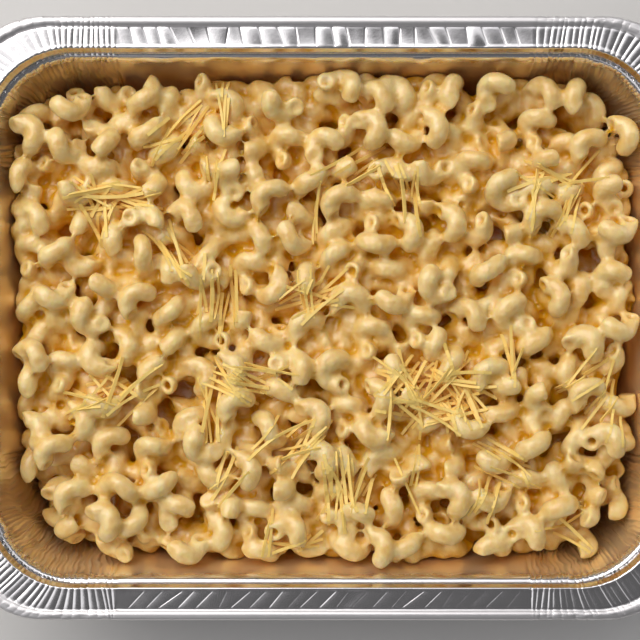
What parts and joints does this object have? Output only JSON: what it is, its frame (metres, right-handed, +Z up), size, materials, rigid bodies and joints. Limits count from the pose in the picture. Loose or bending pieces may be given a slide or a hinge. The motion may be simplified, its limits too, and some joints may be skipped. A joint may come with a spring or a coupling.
{
  "type": "mac and cheese in a foil tray",
  "caption": "Shallow rectangular crimped foil tray filled with a heap of hollow corkscrew pasta in cheese sauce, with strips of grated cheese over it.",
  "frame": {"origin": "middle of the tray's flat underside, on the surface that it stands on", "axes": "+X along the tray's long side, +Y along its short side, +Z up out of the tray"},
  "size_m": [0.3254, 0.2644, 0.065],
  "materials": {
    "foil": "bright rolled foil, pressed and crimped",
    "pasta": "cooked pasta in a satin cheese sauce"
  },
  "bodies": {
    "root": {"foil_tray": "foil", "pasta_heap": "pasta"}
  },
  "joints": []
}
